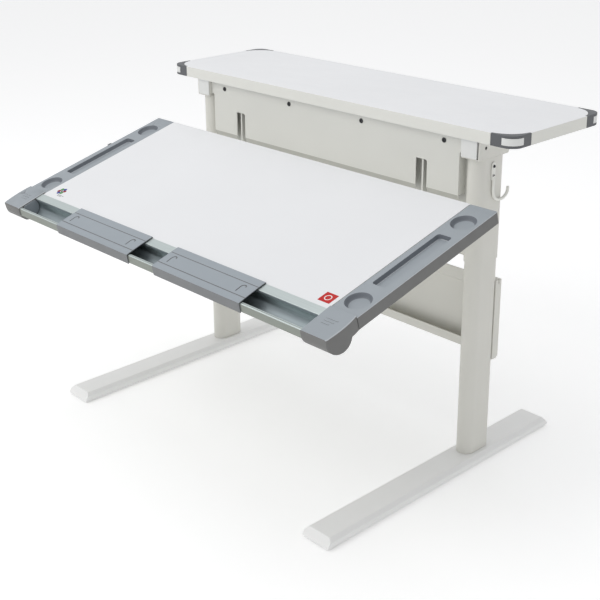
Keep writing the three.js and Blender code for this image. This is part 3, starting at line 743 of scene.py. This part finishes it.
def make_rails():
    """Side rails with a round recess at each end and a long pen recess between them."""
    rail = prism("side_rail_right_piece", rounded(465.6, -6, 530.5, BOARD_REAR, 3.5, 8), "z", -25.7, 0)
    soften(rail, 1.8, 4)
    cutters = [prism("seam", rounded(460, -20, 540, 2.3, 0.5, 2), "z", -40, 10)]
    cutters += [cup_cutter(497, s, 25.5, 9) for s in (41.5, 334)]
    cutters.append(recess_cutter(480, 94, 513, 281, 6, 9))
    combine(rail, cutters, "DIFFERENCE")
    soften(rail, 0.0)
    left = mirrored(rail, "side_rail_left_piece")
    for side, piece in (("right", rail), ("left", left)):
        place(piece, BOARD)
        settle(piece, "board", "moulding", [f"side_rail_{side}"])
        # painted shade on the rail's sides and a painted highlight on its rounded edges; then shade is
        # painted into the cups and the pen recess
        darken_sides(piece, "moulding_painted_shade", BOARD_UP, 0.4, "moulding_painted_highlight")
        paint_recess_shade(piece)


def inset(points, distance):
    """An outline that runs anticlockwise, drawn in by a distance."""
    moved = []
    for before, here, after in zip(points[-1:] + points[:-1], points, points[1:] + points[:1]):
        sides = [Vector(here) - Vector(before), Vector(after) - Vector(here)]
        normals = [Vector((-side.y, side.x)).normalized() for side in sides]
        inward = (normals[0] + normals[1]).normalized()
        moved.append(tuple(Vector(here) + inward * distance / max(0.3, inward.dot(normals[0]))))
    return moved


def cap_body():
    """The right-hand cap in the nose's frame: flat on top, with a round lobe below and round corners."""
    inner, outer, bulge, front, under = 465.3, 529.7, 536.0, -73.4, -29.2
    lobe = arc(-45.9, -14.3, 29.4, 180, 331, 44)
    cap = prism("front_cap_right_piece", [(3, 0), (front, 0)] + lobe + [(3, under)], "x", inner, bulge)
    plan = [(inner, 4), (inner, -76.8)] + arc(520.7, -67.8, 9, -90, 0, 12)
    plan += curve((outer, -67.8), (bulge, -23.6), (528.7, 4), 24)
    low, corner = -44.2, 13
    across = [(inner, 1), (inner, low + corner)] + arc(inner + corner, low + corner, corner, 180, 270, 10)
    across += arc(bulge - 4, low + 4, 4, 270, 360, 6) + [(bulge, 1)]
    rings = []
    for n, step in ((-50, 0), (-2.4, 0), (-1.5, 0.25), (-0.7, 0.8), (0, 1.8), (1, 3.2)):
        rings.append([(u, v, n) for u, v in inset(plan, step)])
    return combine(cap, [loft("plan", rings), prism("across", across, "y", -80, 5)], "INTERSECT")


def make_caps():
    """Front caps, with small ribs on top, a plug that closes the tray's trough and a seal round it."""
    cap = cap_body()
    soften(cap, 0.5, 2, 40)
    ribs = []
    for index, length in enumerate((28, 24, 19)):
        s = -25.0 - 7 * index
        rib = prism("rib", rounded(484, s - 1.2, 484 + length, s + 1.2, 1.2, 6), "z", -1.0, 0.6)
        soften(rib, 0.3, 2)
        ribs.append(rib)
    ribs.append(prism("plug", arc(*TROUGH_CENTRE, 19.7, 44, -224, 48), "x", 463.6, 466.5))
    combine(cap, ribs, "UNION")
    place(cap, NOSE)
    seam = prism("seam", rounded(460, -90, 540, 2, 1, 2), "z", -60, 10)
    combine(cap, [seam], "INTERSECT")
    soften(cap, 0.0)
    strip = arc(*TROUGH_CENTRE, 20.9, 24, -180, 40) + arc(*TROUGH_CENTRE, 19.8, -180, 24, 40)
    seal = prism("tray_seal_right", strip, "x", 464.0, 464.8)
    place(seal, NOSE)
    for name, piece in (("front_cap", cap), ("tray_seal", seal)):
        left = mirrored(piece, f"{name}_left_piece")
        for side, half in (("right", piece), ("left", left)):
            place(half, BOARD)
            if name == "front_cap":
                settle(half, "board", "moulding", [f"front_cap_{side}"])
                # painted shade on the cap's sides and a painted highlight on its rounded edges; the plug
                # keeps the top's colour
                darken_sides(half, "moulding_painted_shade", BOARD_UP, 0.4, "moulding_painted_highlight")
                for polygon in half.data.polygons:
                    if abs(polygon.center.x) < 465 * MM:
                        polygon.material_index = 0
            else:
                settle(half, "board", "black")


def tray_outline():
    """Section of the pencil tray in the nose's frame: rear rail, round trough, front lip and face."""
    top, front, rear, lip, rail = -2.4, -71.3, -4.2, -65.0, -25.1
    centre, deep = TROUGH_CENTRE
    radius, wall, lean, height = TROUGH_RADIUS, 2.2, 2.6, 20.0
    start = math.degrees(math.acos((rail - centre) / radius))
    outline = [(rear, top)]
    outline += arc(rail + 1.2, top - 1.2, 1.2, 90, 180, 5)
    outline += arc(centre, deep, radius, start, -180, 44)
    outline += arc(lip - 1.0, top - 1.0, 1.0, 0, 90, 5)
    outline += [(-67.3, top), (-67.6, top - 0.7), (-68.2, top - 0.7), (-68.5, top)]
    outline += arc(front + 1.4, top - 1.4, 1.4, 90, 173, 6)
    outline += [(front - lean, 0.5 - height), (front - lean + 0.5, -height), (front - lean + wall, -height)]
    outline += [(front + wall, top - wall)]
    outline += arc(centre, deep, radius + wall, -180, -18, 34)
    outline += [(rear, -24.0)]
    return outline


def make_tray():
    """The pencil tray: an extrusion whose trough and front face get darker, duller copies of its aluminium:
    painted shade.
    """
    tray = prism("pencil_tray_piece", tray_outline(), "x", -464.9, 464.9)
    place(tray, NOSE)
    clear = prism("clear", rounded(-470, -4.6, 470, 40, 0.2, 2), "z", -18.3, 6)
    combine(tray, [clear], "DIFFERENCE")
    flange = prism("flange", rounded(-464.9, -4.6, 464.9, 17.4, 0.4, 3), "z", -20.5, -18.3)
    combine(tray, [flange], "UNION")
    soften(tray, 0.0, angle=30)
    place(tray, BOARD)
    settle(tray, "board", "aluminium", ["pencil_tray"])
    # painted shade: the trough and the front face get darker copies of the aluminium
    for material in ("trough", "tray_face_painted_shade"):
        tray.data.materials.append(materials[material])
    inward = (BOARD @ NOSE).inverted()
    for polygon in tray.data.polygons:
        spot = inward @ polygon.center
        if -65.2 < spot.y < -24.9 and spot.z < -4:
            polygon.material_index = 1
        elif spot.y < -66 and polygon.normal.dot(BOARD_UP) < 0.4:
            polygon.material_index = 2


def cover_height(s):
    """How far a cover's top stands above the nose's plane."""
    t = (s - COVER_REAR) / (COVER_FRONT - COVER_REAR)
    return COVER_CROWN * 4 * t * (1 - t)


def cover_outline():
    """Section of a tray cover: a low arch with two fine grooves, and a skirt over the tray's front."""
    rear, front, thickness, lean, drop = COVER_REAR, COVER_FRONT, 1.9, 2.6, 21.0
    outer = []
    steps = 140
    for i in range(steps + 1):
        s = rear - 0.4 + (front + 1.4 - rear) * i / steps
        height = cover_height(s)
        for groove in (-21.7, -57.0):
            height -= 0.9 * math.exp(-(((s - groove) / 0.7) ** 2))
        outer.append((s, height))
    skirt = arc(front + 1.0, -1.0, 1.0, 90, 173, 5)
    skirt += [(front - lean, 0.5 - drop), (front - lean + 0.5, -drop), (front - lean + thickness, -drop)]
    inner = []
    for i in range(13):
        s = front + thickness + (rear - 1.2 - front - thickness) * i / 12
        inner.append((s, cover_height(s) - thickness))
    return [(rear, -2.8), (rear, -0.3)] + outer + skirt + inner + [(rear - 1.2, -2.8)]


def thumb_mark(x):
    """A thumb mark pressed into a cover: a groove like a hooked letter, its long leg towards the user."""
    path = [(x, -50), (x, -42), (x, -34), (x + 2.5, -30.5), (x + 6, -29.3)]
    path += [(x + 9.5, -30.5), (x + 11, -33.8)]
    return tube("mark", [(u, v, cover_height(v) + 0.25) for u, v in path], 1.45, 12)


def make_covers():
    """Two sliding covers over the tray, each with a thumb mark near both ends."""
    for side in ("left", "right"):
        low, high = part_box(f"tray_cover_{side}")
        x0, x1 = low.x / MM, high.x / MM
        cover = prism(f"tray_cover_{side}_piece", cover_outline(), "x", x0, x1)
        soften(cover, 0.3, 2, 40)
        combine(cover, [thumb_mark(x0 + 20), thumb_mark(x1 - 34)], "DIFFERENCE")
        soften(cover, 0.0)
        place(cover, NOSE)
        place(cover, BOARD)
        settle(cover, f"cover_{side}", "cover", [f"tray_cover_{side}"])
        # painted shade on the cover's sides
        darken_sides(cover, "cover_painted_shade", BOARD_UP, 0.8)
        # painted shade in the grooves and the thumb marks, which lie below the cover's top
        inward = (BOARD @ NOSE).inverted()
        for polygon in cover.data.polygons:
            spot = inward @ polygon.center
            if -1.5 < spot.z < cover_height(spot.y) - 0.25:
                polygon.material_index = 1


def flat_mark(name, outline, material, lift):
    """A thin printed or stuck-on shape on the board's face."""
    mark = prism(name, outline, "z", 0.02, lift)
    place(mark, BOARD)
    settle(mark, "board", material)


def make_labels():
    """Plain generic marks where the board carries a label and a small coloured print."""
    flat_mark("label_red", rounded(427.9, 7.8, 456.6, 34.6, 1.2, 4), "red", 0.22)
    flat_mark("label_ring", ring(442.2, 21.3, 7.6, 5.8), "white_ink", 0.3)
    inks = ("maroon_ink", "blue_ink", "green_ink")
    for index in range(6):
        turn = math.radians(60 * index + 15)
        x, s = -432 + 8.4 * math.cos(turn), 27 + 8.4 * math.sin(turn)
        flat_mark(f"print_petal_{index}", arc(x, s, 4.6, 0, 360, 28)[:-1], inks[index % 3], 0.12)
    flat_mark("print_middle", arc(-432, 27, 2.8, 0, 360, 24)[:-1], "black", 0.13)
    for index, length in enumerate((22, 16)):
        s = 12.0 - 3.4 * index
        flat_mark(f"print_line_{index}", rounded(-427, s, -427 + length, s + 1.3, 0.5, 3), "guard", 0.12)


def ring(cx, cy, outer, inner):
    """A ring's outline, as one strip that goes round outside and comes back inside."""
    return arc(cx, cy, outer, 0, 359, 40) + arc(cx, cy, inner, 359, 0, 40)


# ---------------------------------------------------------------- everything together

make_camera()
make_studio()
materials = make_materials()
make_plain_parts()
make_screws()
make_hook()
make_shelf()
make_board()
make_rails()
make_caps()
make_tray()
make_covers()
make_labels()

bpy.context.view_layer.update()
